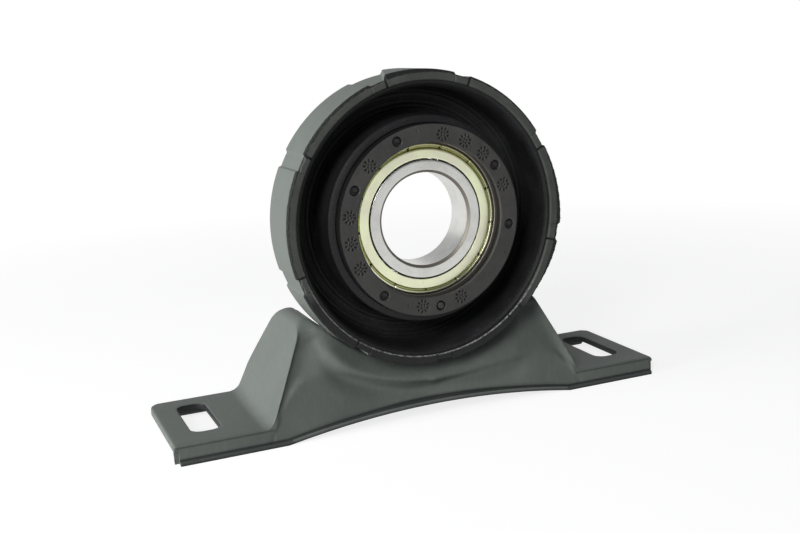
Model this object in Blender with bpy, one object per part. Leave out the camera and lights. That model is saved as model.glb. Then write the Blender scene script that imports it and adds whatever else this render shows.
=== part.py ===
"""Driveshaft centre bearing.

A pressed steel bracket carries a welded outer band. Inside the band a rubber bellows holds the
bearing collar, and the collar holds a shielded deep-groove ball bearing for the shaft.

Frame: +X along the bracket, +Y towards its rear, +Z up. The origin is on the surface that the
bracket stands on, under the middle of the whole part. All sizes are in metres.
"""
import math

import bmesh
import bpy
from mathutils import Matrix, Vector

# Shaft and bearing sizes
bore_radius = 0.015
bore_chamfer = 0.0008
inner_race_wall = 0.0041
race_space = 0.0043
shield_seat_step = 0.0012
outer_race_lip = 0.0029
bearing_width = 0.013
ball_radius = 0.003572
ball_count = 11
race_clearance = 0.0003
race_edge_round = 0.0006

# Shield sizes
shield_sheet = 0.0005
shield_recess = 0.0003
shield_seat_depth = 0.0017
shield_inner_clearance = 0.0004
shield_shoulder_width = 0.0020
shield_groove_slope = 0.0003
shield_rim_width = 0.0008
shield_groove_depth = 0.0005
shield_rim_rise = 0.0001

# Cage sizes
cage_sheet = 0.0007
cage_depth = 0.0030
cage_pocket_clearance = 0.0003
cage_half_gap = 0.0003
cage_bend_reach = 0.0006
rivet_radius = 0.0005
rivet_head_radius = 0.0011
rivet_head_taper = 0.0003
rivet_head_height = 0.0005
rivet_clearance = 0.0003

# Collar sizes
collar_wall = 0.0029
collar_front_reach = 0.0109
collar_rear_reach = 0.0090
collar_rear_lip = 0.0013
collar_edge_round = 0.0006
collar_mark_radius = 0.0010
collar_mark_depth = 0.0006
collar_mark_inset = 0.0027
collar_mark_spread = math.radians(21.2)
collar_mark_turn = math.radians(13.0)

# Rubber bellows sizes
rubber_depth = 0.0132
rubber_outer_wall = 0.0022
rubber_inner_wall = 0.0024
rubber_front_inset = 0.0004
rubber_lip_chamfer = 0.0010
rubber_collar_step = 0.0030
rubber_fold_centre = 0.0025

# Outer band sizes, with the pads that the strip's two lapped ends lift
band_wall = 0.0019
band_width = 0.0185
band_edge_round = 0.0004
pad_height = 0.0007
pad_gap_angle = math.radians(6.5)
pad_ramp_angle = math.radians(1.0)
pad_gap_turns = (29, 73, 109, 152, 200, 237, 274, 311, 349)
upper_lap_pad = 1
upper_lap_rise = 0.0009
right_lap_pad = 8
right_lap_rise = 0.0012

# Bracket sizes
saddle_floor = 0.0185
sheet = 0.0020
foot_height = 0.0059
foot_length = 0.0305
flange_setback = 0.0014
foot_half_depth = 0.0220
lip_reach_out = 0.0020
horn_foot_x = 0.0560
horn_slope = 2.08
horn_peak_round = 0.0038
horn_foot_round = 0.0060
peak_run = 0.0080
ring_forward = 0.0155
arch_rise = 0.0046
arch_setback = 0.0050
wall_half_depth = 0.0205
wall_recess = 0.0015
recess_start_x = 0.0080
recess_end = 0.0110
recess_fade = 0.0060
crease_height_middle = 0.0098
crease_height_horn = 0.0155
foot_crease_rise = 0.0008
saddle_half_depth = 0.0155
saddle_edge_round = 0.0050
horn_ridge_half_depth = 0.0175
horn_ridge_height = 0.0180
horn_ridge_round = 0.0028
rear_ridge_half_depth = 0.0218
rear_ridge_height = 0.0150
horn_peak_half_depth = 0.0110
horn_peak_edge_round = 0.0085
foot_edge_round = 0.0023
smallest_round = 0.0003
foot_flare = 0.0003
wall_flare = 0.0012
wall_bend_reach = 0.0030
foot_bend_reach = 0.0007
foot_blend_inward = 0.0030
foot_blend_outward = 0.0015
end_roll = 0.0012

# Curve shapes of the pressing, as shares and powers
saddle_narrowing = 2.5
front_ridge_curve = 1.6
rear_ridge_curve = 1.0
highest_crease = 0.62
horn_ledge = 0.25
foot_ledge = 0.08
inner_drop = 0.2
inner_bend_growth = 0.5
roll_bulge = 0.3
roll_flat = 1.5
corner_room = 0.88
bend_room = 0.45

# Foot slots and corners
slot_end_distance = 0.0121
slot_width = 0.0097
slot_length = 0.0272
slot_corner = 0.0034
slot_rearward = 0.0012
rear_corner_radius = 0.0055
notch_height = 0.0044
notch_inset = 0.0005
cutter_overrun = 0.0040

# Clearances between pieces that touch
seat_gap = 0.0003

# Facet counts, stations and the angle from which an edge is drawn sharp
ring_facets = 40
pad_facets = 5
collar_facets = 48
ball_segments = 10
ball_rings = 6
rivet_facets = 6
mark_facets = 8
pocket_facets = 4
groove_facets = 4
saddle_stations = 6
peak_stations = 4
horn_foot_stations = 3
end_face_stations = (0.16, 0.33, 0.52, 0.70, 0.86)
foot_stations = (0.5, 1.0)
sharp_edge_angle = math.radians(35)
bracket_edge_angle = math.radians(42)

# Places worked out from the sizes above
half_width = bearing_width / 2
inner_shoulder_radius = bore_radius + inner_race_wall
outer_land_radius = inner_shoulder_radius + race_space
shield_seat_radius = outer_land_radius + shield_seat_step
outer_race_radius = shield_seat_radius + outer_race_lip
pitch_radius = (inner_shoulder_radius + outer_land_radius) / 2
groove_radius = ball_radius + race_clearance
collar_bore_radius = outer_race_radius + seat_gap
collar_radius = collar_bore_radius + collar_wall
rubber_inner_radius = collar_radius + seat_gap
rubber_outer_radius = rubber_inner_radius + rubber_depth
band_bore_radius = rubber_outer_radius + seat_gap
band_radius = band_bore_radius + band_wall
saddle_radius = band_radius + pad_height + seat_gap
shaft_height = saddle_floor + saddle_radius
foot_half_length = horn_foot_x + foot_length
lip_half_depth = foot_half_depth + lip_reach_out
bracket_mid_y = (ring_forward + collar_front_reach - lip_half_depth) / 2
ring_mid_y = bracket_mid_y - ring_forward
shaft_centre = Vector((0.0, ring_mid_y, shaft_height))


def make_material(name, colour, roughness, metallic):
    """Return a Principled BSDF material."""
    material = bpy.data.materials.new(name)
    material.use_nodes = True
    shader = material.node_tree.nodes["Principled BSDF"]
    shader.inputs["Base Color"].default_value = (*colour, 1.0)
    shader.inputs["Roughness"].default_value = roughness
    shader.inputs["Metallic"].default_value = metallic
    return material


def add_object(name, mesh, material, location=(0.0, 0.0, 0.0), parent=None):
    """Put a mesh in the scene as a named object, hung on its parent without an offset."""
    piece = bpy.data.objects.new(name, mesh)
    bpy.context.scene.collection.objects.link(piece)
    piece.location = location
    if parent is not None:
        piece.parent = parent
    if not mesh.materials:
        mesh.materials.append(material)
    return piece


def add_empty(name, location, parent=None):
    """Put an empty at a joint's centre."""
    empty = bpy.data.objects.new(name, None)
    bpy.context.scene.collection.objects.link(empty)
    empty.location = location
    if parent is not None:
        empty.parent = parent
    return empty


def mesh_from(name, points, faces, sharp_angle=sharp_edge_angle):
    """Build a closed mesh with outward faces, smooth except at sharp edges."""
    mesh = bpy.data.meshes.new(name)
    mesh.from_pydata(points, [], faces)
    work = bmesh.new()
    work.from_mesh(mesh)
    bmesh.ops.recalc_face_normals(work, faces=work.faces)
    work.to_mesh(mesh)
    work.free()
    mesh.shade_smooth()
    mesh.set_sharp_from_angle(angle=sharp_angle)
    return mesh


def even_angles(facets):
    """Angles of a regular ring."""
    return [2 * math.pi * step / facets for step in range(facets)]


def turned_mesh(name, profile, angles, radius_at=None):
    """Turn a closed profile of (radius, y) points about the Y axis.

    radius_at may change a point's radius with its angle, for pads round a ring.
    """
    points = []
    for angle in angles:
        for radius, y in profile:
            turned = radius_at(radius, angle) if radius_at else radius
            points.append((turned * math.cos(angle), y, turned * math.sin(angle)))
    count = len(profile)
    faces = []
    for step in range(len(angles)):
        this, following = step * count, (step + 1) % len(angles) * count
        for spot in range(count):
            after = (spot + 1) % count
            faces.append((this + spot, this + after, following + after, following + spot))
    return mesh_from(name, points, faces)


def arc_points(centre, radius, start, end, steps):
    """Points of an arc in the (radius, y) plane, ends included."""
    return [(centre[0] + radius * math.cos(start + (end - start) * step / steps),
             centre[1] + radius * math.sin(start + (end - start) * step / steps))
            for step in range(steps + 1)]


def cut(piece, cutter):
    """Cut a piece by a cutter with an exact Boolean."""
    cutter.hide_render = True
    cutter.display_type = 'WIRE'
    step = piece.modifiers.new("cut_" + cutter.name, 'BOOLEAN')
    step.operation = 'DIFFERENCE'
    step.solver = 'EXACT'
    step.object = cutter


def prism_mesh(name, outline, low, high):
    """A prism along Z over a closed outline of (x, y) points."""
    count = len(outline)
    points = [(x, y, low) for x, y in outline] + [(x, y, high) for x, y in outline]
    faces = [tuple(range(count)), tuple(range(count, 2 * count))]
    faces += [(spot, (spot + 1) % count, count + (spot + 1) % count, count + spot)
              for spot in range(count)]
    return mesh_from(name, points, faces)


def softened_corner(before, corner, after, reach, steps):
    """Points of a soft curve over a corner, starting reach before it."""
    start = corner + (before - corner).normalized() * min(reach, (before - corner).length * bend_room)
    end = corner + (after - corner).normalized() * min(reach, (after - corner).length * bend_room)
    curve = []
    for step in range(steps + 1):
        share = step / steps
        curve.append(start * (1 - share) ** 2 + corner * (2 * share * (1 - share)) + end * share ** 2)
    return curve


def rounded_corner(before, corner, after, radius, steps):
    """Points of a true arc that rounds a corner, kept within the edges beside it."""
    into = (corner - before).normalized()
    out = (after - corner).normalized()
    turn = into.angle(out)
    room = corner_room * min((corner - before).length, (after - corner).length)
    radius = min(radius, room / math.tan(turn / 2))
    start = corner - into * radius * math.tan(turn / 2)
    inward = (out - into * into.dot(out)).normalized()
    return [start + into * radius * math.sin(turn * step / steps)
            + inward * radius * (1 - math.cos(turn * step / steps)) for step in range(steps + 1)]


def blend(low, high, place):
    """Ease from 0 to 1 as place goes from low to high."""
    share = min(max((place - low) / (high - low), 0.0), 1.0)
    return share * share * (3 - 2 * share)


def mix(first, second, share):
    """The value a share of the way from first to second."""
    return first + (second - first) * share


def saddle_height(x):
    """Height of the saddle, which follows the band."""
    return shaft_height - math.sqrt(saddle_radius ** 2 - x ** 2)


def horn_height(x):
    """Height of the horn's straight end face."""
    return foot_height + (horn_foot_x - x) * horn_slope


def horn_corner_x():
    """Where the end face would meet the saddle, found by halving."""
    low, high = 0.0, saddle_radius
    for _ in range(40):
        middle = (low + high) / 2
        if horn_height(middle) > saddle_height(middle):
            low = middle
        else:
            high = middle
    return (low + high) / 2


horn_x = horn_corner_x()
horn_top = horn_height(horn_x)


def crest_path():
    """The crest from the bracket's middle to the foot's end, as (x, z) points."""
    peak = Vector((horn_x, horn_top))
    steep = horn_x / math.sqrt(saddle_radius ** 2 - horn_x ** 2)
    before_peak = peak - Vector((1.0, steep)) * peak_run
    foot = Vector((horn_foot_x, foot_height))
    roll_start = Vector((foot_half_length - end_roll, foot_height))
    arc = rounded_corner(before_peak, peak, foot, horn_peak_round, peak_stations)
    path = [Vector((arc[0].x * step / saddle_stations, saddle_height(arc[0].x * step / saddle_stations)))
            for step in range(saddle_stations)]
    path += arc
    base = rounded_corner(arc[-1], foot, roll_start, horn_foot_round, horn_foot_stations)
    path += [arc[-1].lerp(base[0], share) for share in end_face_stations]
    path += base
    path += [base[-1].lerp(roll_start, share) for share in foot_stations]
    bulge = roll_bulge * end_roll
    path.append(Vector((foot_half_length - bulge, foot_height - bulge)))
    path.append(Vector((foot_half_length, foot_height - end_roll)))
    return path


def underside_path(path):
    """The sheet's underside below the crest: each point one sheet away, square to the path."""
    under = []
    for index, here in enumerate(path):
        if index == 0 or here.x > foot_half_length - roll_flat * end_roll:
            under.append(Vector((here.x, min(here.y, foot_height) - sheet if index else here.y - sheet)))
            continue
        lead = (here - path[index - 1]).normalized()
        trail = (path[index + 1] - here).normalized()
        across = (lead + trail).normalized()
        under.append(here + Vector((across.y, -across.x)) * sheet / across.dot(lead))
    for spot in under:
        if spot.x > foot_half_length - roll_flat * end_roll:
            spot.y = foot_height - sheet
    return under


def shoulder_half_depth(x, crest, rear):
    """Half depth of the crest: a saddle that narrows to the horn, then the end face widening down."""
    if x < horn_x:
        narrowing = (x / horn_x) ** saddle_narrowing
        return mix(saddle_half_depth, horn_peak_half_depth, narrowing)
    ridge_depth = rear_ridge_half_depth if rear else horn_ridge_half_depth
    ridge_height = rear_ridge_height if rear else horn_ridge_height
    curve = rear_ridge_curve if rear else front_ridge_curve
    climb = min(max((crest - ridge_height) / (horn_top - ridge_height), 0.0), 1.0)
    return mix(ridge_depth, horn_peak_half_depth, climb ** curve)


def half_section(x, crest, inset, rear):
    """Half of the bracket's section at x as (depth from the middle, height) points, lip first.

    inset is 0 for the outer surface and one sheet for the inner one. The rear wall meets the end
    face further out than the front wall, which is set back from the lip beside the horn.
    """
    foot_share = blend(horn_foot_x - foot_blend_inward, horn_foot_x + foot_blend_outward, x)
    middle_share = 1 - blend(0.0, horn_x, x)
    arch = arch_rise * max(0.0, 1 - (x / (horn_foot_x - arch_setback)) ** 2)
    lip_top = arch + sheet - inset
    ridge_depth = rear_ridge_half_depth if rear else horn_ridge_half_depth
    wall_foot = mix(mix(ridge_depth + wall_flare, wall_half_depth, middle_share),
                    foot_half_depth + foot_flare, foot_share) - inset
    outer_crest = crest + inset
    crease_z = mix(crease_height_horn, crease_height_middle, middle_share)
    crease_z = min(crease_z, mix(arch + sheet, outer_crest, highest_crease))
    crease_z = mix(crease_z, sheet + foot_crease_rise, foot_share)
    crease_depth = wall_foot - mix(wall_flare, foot_flare, foot_share) / 2
    shoulder = mix(shoulder_half_depth(x, outer_crest, rear), foot_half_depth, foot_share) - inset
    on_horn = blend(horn_ridge_height, horn_top - horn_peak_round, outer_crest) * (1 - middle_share)
    edge_round = mix(mix(horn_ridge_round, saddle_edge_round, middle_share), horn_peak_edge_round, on_horn)
    edge_round = max(mix(edge_round, foot_edge_round, foot_share) - inset, smallest_round)
    recess_out = horn_foot_x - recess_end
    recess = wall_recess * blend(recess_start_x, horn_x, x)
    recess *= 1 - blend(recess_out, recess_out + recess_fade, x)
    ledge_z = mix(crease_z, outer_crest, mix(horn_ledge, foot_ledge, foot_share))
    ledge_depth = mix(crease_depth, shoulder, horn_ledge) - recess
    knots = [Vector((lip_half_depth, lip_top)),
             Vector((wall_foot, lip_top)),
             Vector((crease_depth, crease_z - inner_drop * inset)),
             Vector((ledge_depth, ledge_z - inner_drop * inset)),
             Vector((shoulder, crest)),
             Vector((0.0, crest))]
    bend_reach = mix(wall_bend_reach, foot_bend_reach, foot_share) + inner_bend_growth * inset
    section = [knots[0]]
    section += softened_corner(knots[0], knots[1], knots[2], bend_reach, 2)
    section += [knots[2], knots[3]]
    section += rounded_corner(knots[3], knots[4], knots[5], edge_round, 2)
    section.append(knots[5])
    return section


def bracket_surface(stations, inset):
    """Points of one side of the sheet, station by station, from the front lip to the rear lip."""
    points = []
    for x, crest in stations:
        front = half_section(abs(x), crest, inset, False)
        rear = half_section(abs(x), crest, inset, True)
        points += [(x, bracket_mid_y - spot.x, spot.y) for spot in front]
        points += [(x, bracket_mid_y + spot.x, spot.y) for spot in reversed(rear[:-1])]
    return points


def build_bracket(material):
    """The one-piece pressed bracket: an outer and an inner surface a sheet apart, closed at the rim."""
    crest = crest_path()
    surfaces = []
    for path, inset in ((crest, 0.0), (underside_path(crest), sheet)):
        stations = [(-spot.x, spot.y) for spot in reversed(path[1:])]
        stations += [(spot.x, spot.y) for spot in path]
        surfaces.append(bracket_surface(stations, inset))
    rows = 2 * len(crest) - 1
    across = len(surfaces[0]) // rows
    total = rows * across
    faces = []
    for row in range(rows - 1):
        for spot in range(across - 1):
            corner = row * across + spot
            quad = (corner, corner + across, corner + across + 1, corner + 1)
            faces.append(quad)
            faces.append(tuple(total + index for index in reversed(quad)))
    rim = [row * across for row in range(rows)]
    rim += [(rows - 1) * across + spot for spot in range(1, across)]
    rim += [row * across + across - 1 for row in range(rows - 2, -1, -1)]
    rim += list(range(across - 2, 0, -1))
    for spot, corner in enumerate(rim):
        after = rim[(spot + 1) % len(rim)]
        faces.append((corner, total + corner, total + after, after))
    mesh = mesh_from("mount_bracket", surfaces[0] + surfaces[1], faces, bracket_edge_angle)
    bracket = add_object("mount_bracket", mesh, material)
    cut_feet(bracket, material)
    return bracket


def slot_outline(centre_x, centre_y):
    """A slot with rounded corners, long side along Y."""
    half_x, half_y = slot_width / 2 - slot_corner, slot_length / 2 - slot_corner
    outline = []
    for quarter, (side_x, side_y) in enumerate(((1, 1), (-1, 1), (-1, -1), (1, -1))):
        start = quarter * math.pi / 2
        outline += arc_points((centre_x + side_x * half_x, centre_y + side_y * half_y),
                              slot_corner, start, start + math.pi / 2, 4)
    return outline


def cut_feet(bracket, material):
    """Cut the slots, round the rear corners and trim the flanges short of the plate's end."""
    top, bottom = foot_height + cutter_overrun, -cutter_overrun
    end_out = foot_half_length + cutter_overrun
    front_in = bracket_mid_y - foot_half_depth + notch_inset
    front_out = bracket_mid_y - lip_half_depth - cutter_overrun
    rear_out = bracket_mid_y + lip_half_depth + cutter_overrun
    for side, name in ((-1, "left"), (1, "right")):
        slot_x = side * (foot_half_length - slot_end_distance)
        outline = slot_outline(slot_x, bracket_mid_y + slot_rearward)
        slot = prism_mesh("slot_cut_" + name, outline, bottom, top)
        cut(bracket, add_object("slot_cut_" + name, slot, material))
        corner_x = foot_half_length - rear_corner_radius
        corner_y = bracket_mid_y + foot_half_depth - rear_corner_radius
        arc = arc_points((side * corner_x, corner_y), rear_corner_radius,
                         math.pi / 2, math.pi / 2 - side * math.pi / 2, 5)
        outer = [(side * end_out, corner_y), (side * end_out, rear_out), (side * corner_x, rear_out)]
        trim = prism_mesh("corner_cut_" + name, arc + outer, bottom, top)
        cut(bracket, add_object("corner_cut_" + name, trim, material))
        flange_end = side * (foot_half_length - flange_setback)
        notch = [(flange_end, front_in), (side * end_out, front_in),
                 (side * end_out, front_out), (flange_end, front_out)]
        relief = prism_mesh("notch_cut_" + name, notch, bottom, notch_height)
        cut(bracket, add_object("notch_cut_" + name, relief, material))


def pad_stations():
    """(angle, rise) round the band: each gap between pads with its ramps, then steps over the pad.

    Two pads lie over a lapped end of the strip, so they rise evenly to a step at one of their ends.
    """
    low = (pad_gap_angle - pad_ramp_angle) / 2
    high = (pad_gap_angle + pad_ramp_angle) / 2
    turns = [math.radians(turn) for turn in pad_gap_turns]
    stations = []
    for pad, centre in enumerate(turns):
        following = turns[pad + 1] if pad + 1 < len(turns) else turns[0] + 2 * math.pi
        stations += [(centre - low, 0.0), (centre + low, 0.0)]
        for step in range(pad_facets + 1):
            share = step / pad_facets
            lap = 0.0
            if pad == upper_lap_pad:
                lap = upper_lap_rise * share
            if pad == right_lap_pad:
                lap = right_lap_rise * (1 - share)
            stations.append((mix(centre + high, following - high, share), pad_height + lap))
    return stations


def build_band(material, parent):
    """The outer band, with raised pads round it."""
    half = band_width / 2
    edge = band_edge_round
    profile = [(band_bore_radius, -half), (band_radius - edge, -half), (band_radius, -half + edge),
               (band_radius, half - edge), (band_radius - edge, half), (band_bore_radius, half)]
    stations = pad_stations()
    rises = dict(stations)

    def padded(radius, angle):
        return radius + (rises[angle] if radius > (band_bore_radius + band_radius) / 2 else 0.0)

    angles = [angle for angle, _ in stations]
    return add_object("outer_band", turned_mesh("outer_band", profile, angles, padded), material,
                      parent=parent)


def build_rubber(material, parent):
    """The bellows: two sleeves joined by one deep fold that opens to the front."""
    half = band_width / 2
    inner, outer = rubber_inner_radius, rubber_outer_radius
    fold_y = rubber_fold_centre
    fold_centre = ((inner + outer) / 2, fold_y)
    outer_round = (outer - inner) / 2
    inside_centre = ((inner + rubber_inner_wall + outer - rubber_outer_wall) / 2, fold_y)
    inside_round = (outer - rubber_outer_wall - inner - rubber_inner_wall) / 2
    profile = [(outer, -half + rubber_front_inset)]
    profile += arc_points(fold_centre, outer_round, 0.0, math.pi, 6)
    profile += [(inner, -collar_front_reach + rubber_collar_step),
                (inner + rubber_inner_wall, -collar_front_reach + rubber_collar_step)]
    profile += arc_points(inside_centre, inside_round, math.pi, 0.0, 5)
    profile += [(outer - rubber_outer_wall, -half + rubber_front_inset + rubber_lip_chamfer),
                (outer - rubber_outer_wall + rubber_lip_chamfer, -half + rubber_front_inset)]
    mesh = turned_mesh("rubber_mount", profile, even_angles(collar_facets))
    return add_object("rubber_mount", mesh, material, parent=parent)


def build_collar(material, parent):
    """The rubber-coated collar that holds the bearing, with its moulded marks."""
    front, rear = -collar_front_reach, collar_rear_reach
    edge = collar_edge_round
    seat = half_width + seat_gap
    rear_lip = outer_race_radius - collar_rear_lip
    profile = [(shield_seat_radius + edge, front), (collar_radius - edge, front),
               (collar_radius, front + edge), (collar_radius, rear - edge), (collar_radius - edge, rear),
               (rear_lip + edge, rear), (rear_lip, rear - edge),
               (rear_lip, seat), (collar_bore_radius, seat), (collar_bore_radius, -seat),
               (shield_seat_radius, -seat), (shield_seat_radius, front + edge)]
    mesh = turned_mesh("bearing_collar", profile, even_angles(collar_facets))
    collar = add_object("bearing_collar", mesh, material, parent=parent)
    work = bmesh.new()
    for third in range(3):
        for side in (-1, 1):
            angle = collar_mark_turn + third * 2 * math.pi / 3 + side * collar_mark_spread
            circle = collar_radius - collar_mark_inset
            place = Vector((circle * math.cos(angle), front, circle * math.sin(angle)))
            turn = Matrix.Translation(place) @ Matrix.Rotation(math.pi / 2, 4, 'X')
            bmesh.ops.create_cone(work, cap_ends=True, segments=mark_facets, radius1=collar_mark_radius,
                                  radius2=collar_mark_radius, depth=2 * collar_mark_depth, matrix=turn)
    marks = bpy.data.meshes.new("collar_mark_cut")
    work.to_mesh(marks)
    work.free()
    cutter = add_object("collar_mark_cut", marks, material, parent=parent)
    cut(collar, cutter)
    return collar


def groove_arc(start, end, steps):
    """The raceway groove round the ball's centre, in the (radius, y) plane."""
    return arc_points((pitch_radius, 0.0), groove_radius, start, end, steps)


def build_outer_race(material, parent):
    """Outer race: groove on its bore and a stepped seat for a shield at each end."""
    seat_y = half_width - shield_seat_depth
    rise = math.acos((outer_land_radius - pitch_radius) / groove_radius)
    edge = race_edge_round
    profile = [(outer_race_radius, -half_width + edge), (outer_race_radius, half_width - edge),
               (outer_race_radius - edge, half_width), (shield_seat_radius, half_width),
               (shield_seat_radius, seat_y), (outer_land_radius, seat_y)]
    profile += groove_arc(rise, -rise, groove_facets)
    profile += [(outer_land_radius, -seat_y), (shield_seat_radius, -seat_y),
                (shield_seat_radius, -half_width), (outer_race_radius - edge, -half_width)]
    mesh = turned_mesh("outer_race", profile, even_angles(ring_facets))
    return add_object("outer_race", mesh, material, parent=parent)


def build_inner_race(material, parent):
    """Inner race: chamfered bore and a groove between its shoulders."""
    rise = math.acos((pitch_radius - inner_shoulder_radius) / groove_radius)
    edge = race_edge_round / 2
    profile = [(bore_radius, -half_width + bore_chamfer), (bore_radius + bore_chamfer, -half_width),
               (inner_shoulder_radius - edge, -half_width), (inner_shoulder_radius, -half_width + edge)]
    profile += groove_arc(math.pi + rise, math.pi - rise, groove_facets)
    profile += [(inner_shoulder_radius, half_width - edge), (inner_shoulder_radius - edge, half_width),
                (bore_radius + bore_chamfer, half_width), (bore_radius, half_width - bore_chamfer)]
    mesh = turned_mesh("inner_race", profile, even_angles(ring_facets))
    return add_object("inner_race", mesh, material, parent=parent)


def build_shield(name, side, material, parent):
    """A pressed shield: flat ring, groove and curled rim in the outer race's seat."""
    face = half_width - shield_recess
    back = half_width - shield_seat_depth + seat_gap
    inner = inner_shoulder_radius + shield_inner_clearance
    rim_outer = shield_seat_radius - seat_gap
    rim_inner = rim_outer - shield_rim_width
    flat = shield_seat_radius - shield_shoulder_width
    low = face - shield_groove_depth
    profile = [(inner, face), (flat, face), (flat + shield_groove_slope, low),
               (rim_inner - shield_groove_slope / 2, low), (rim_inner, face + shield_rim_rise),
               (rim_outer, face + shield_rim_rise), (rim_outer, back),
               (flat - shield_sheet, back), (inner, face - shield_sheet)]
    profile = [(radius, side * y) for radius, y in profile]
    return add_object(name, turned_mesh(name, profile, even_angles(ring_facets)), material, parent=parent)


def cage_line():
    """One pitch of the cage ribbon's middle line: (distance along the pitch circle, y) points.

    The line lies flat between balls and passes over the ball on an arc round its centre.
    """
    pitch = 2 * math.pi * pitch_radius / ball_count
    over = ball_radius + cage_pocket_clearance + cage_sheet / 2
    flat = (cage_half_gap + cage_sheet) / 2
    lift = math.asin((flat + cage_sheet) / over)
    side = over * math.cos(lift)
    line = [(-pitch / 2, flat), (-side - cage_bend_reach, flat)]
    for step in range(pocket_facets + 1):
        angle = math.pi - lift - (math.pi - 2 * lift) * step / pocket_facets
        line.append((over * math.cos(angle), over * math.sin(angle)))
    line.append((side + cage_bend_reach, flat))
    return line


def build_cage_half(name, side, material, parent):
    """Half of the pressed ribbon cage, with a rivet hole between each two pockets."""
    line = cage_line()
    pitch = 2 * math.pi * pitch_radius / ball_count
    loop = [(ball * pitch + along, y) for ball in range(ball_count) for along, y in line]
    count = len(loop)
    around = ball_count * pitch
    points = []
    for spot in range(count):
        before = loop[spot - 1] if spot else (loop[-1][0] - around, loop[-1][1])
        after = loop[(spot + 1) % count]
        if spot == count - 1:
            after = (after[0] + around, after[1])
        here = Vector(loop[spot])
        lead = (here - Vector(before)).normalized()
        trail = (Vector(after) - here).normalized()
        across = (lead + trail).normalized()
        normal = Vector((-across.y, across.x)) / across.dot(lead)
        for offset in (-cage_sheet / 2, cage_sheet / 2):
            along, y = here + normal * offset
            angle = math.pi / 2 + along / pitch_radius
            for radius in (pitch_radius - cage_depth / 2, pitch_radius + cage_depth / 2):
                points.append((radius * math.cos(angle), side * y, radius * math.sin(angle)))
    faces = []
    for spot in range(count):
        this, following = spot * 4, (spot + 1) % count * 4
        for first, second in ((0, 1), (1, 3), (3, 2), (2, 0)):
            faces.append((this + first, this + second, following + second, following + first))
    half = add_object(name, mesh_from(name, points, faces), material, parent=parent)
    work = bmesh.new()
    for hole in range(ball_count):
        matrix = rivet_matrix(hole)
        bmesh.ops.create_cone(work, cap_ends=True, segments=rivet_facets, depth=2 * cutter_overrun,
                              radius1=rivet_radius + rivet_clearance,
                              radius2=rivet_radius + rivet_clearance, matrix=matrix)
    holes = bpy.data.meshes.new(name + "_hole_cut")
    work.to_mesh(holes)
    work.free()
    cut(half, add_object(name + "_hole_cut", holes, material, parent=parent))
    return half


def ball_angle(index):
    """Angle of a ball round the shaft, from +X towards +Z."""
    return math.pi / 2 + 2 * math.pi * index / ball_count


def rivet_matrix(index):
    """Place of a rivet between two balls, with its length along Y."""
    angle = ball_angle(index + 0.5)
    place = Vector((pitch_radius * math.cos(angle), 0.0, pitch_radius * math.sin(angle)))
    return Matrix.Translation(place) @ Matrix.Rotation(math.pi / 2, 4, 'X')


def build_rivets(material, parent):
    """Rivets that hold the two cage halves together."""
    under = cage_half_gap / 2 + cage_sheet + seat_gap
    top = under + rivet_head_height
    profile = [(rivet_head_radius - rivet_head_taper, top), (rivet_head_radius, under),
               (rivet_radius, under)]
    profile = profile + [(radius, -y) for radius, y in reversed(profile)]
    points, faces = [], []
    for step in range(rivet_facets):
        angle = 2 * math.pi * step / rivet_facets
        points += [(radius * math.cos(angle), y, radius * math.sin(angle)) for radius, y in profile]
    count = len(profile)
    for step in range(rivet_facets):
        this, following = step * count, (step + 1) % rivet_facets * count
        faces += [(this + spot, this + spot + 1, following + spot + 1, following + spot)
                  for spot in range(count - 1)]
    faces.append(tuple(step * count for step in range(rivet_facets)))
    faces.append(tuple(step * count + count - 1 for step in range(rivet_facets)))
    shared = mesh_from("cage_rivet", points, faces)
    for index in range(ball_count):
        angle = ball_angle(index + 0.5)
        place = (pitch_radius * math.cos(angle), 0.0, pitch_radius * math.sin(angle))
        add_object(f"cage_rivet_{index + 1:02d}", shared, material, place, parent)


def build_balls(material, parent):
    """The balls, each with its origin at its own centre."""
    work = bmesh.new()
    bmesh.ops.create_uvsphere(work, u_segments=ball_segments, v_segments=ball_rings, radius=ball_radius,
                              matrix=Matrix.Rotation(math.pi / 2, 4, 'X'))
    shared = bpy.data.meshes.new("ball")
    work.to_mesh(shared)
    work.free()
    shared.shade_smooth()
    for index in range(ball_count):
        angle = ball_angle(index)
        place = (pitch_radius * math.cos(angle), 0.0, pitch_radius * math.sin(angle))
        add_object(f"ball_{index + 1:02d}", shared, material, place, parent)


def build_all():
    """Clear the scene and build every piece."""
    for old in list(bpy.data.objects):
        bpy.data.objects.remove(old, do_unlink=True)
    painted = make_material("painted_steel", (0.13, 0.14, 0.13), 0.45, 0.2)
    rubber = make_material("rubber", (0.012, 0.012, 0.013), 0.6, 0.0)
    coated = make_material("rubber_coated_steel", (0.05, 0.05, 0.053), 0.55, 0.0)
    steel = make_material("bearing_steel", (0.62, 0.62, 0.6), 0.22, 1.0)
    zinc = make_material("yellow_zinc", (0.7, 0.66, 0.4), 0.3, 0.9)
    build_bracket(painted)
    ring = add_empty("ring_centre", shaft_centre)
    build_band(painted, ring)
    build_rubber(rubber, ring)
    build_collar(coated, ring)
    build_outer_race(steel, ring)
    build_shield("front_shield", -1, zinc, ring)
    build_shield("rear_shield", 1, zinc, ring)
    shaft = add_empty("shaft_axis", (0.0, 0.0, 0.0), ring)
    build_inner_race(steel, shaft)
    cage = add_empty("cage_axis", (0.0, 0.0, 0.0), ring)
    build_cage_half("cage_front", -1, steel, cage)
    build_cage_half("cage_rear", 1, steel, cage)
    build_rivets(steel, cage)
    build_balls(steel, cage)


build_all()
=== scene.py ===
"""Looks of the driveshaft centre bearing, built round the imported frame.

The sections follow the object as it is put together: the bracket pressing, the welded band, the
moulded rubber, the bearing's rings and shields, and what runs inside. Lengths are in metres.
"""
import math

import bmesh
import bpy
import numpy as np
from mathutils import Matrix, Vector


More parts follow.
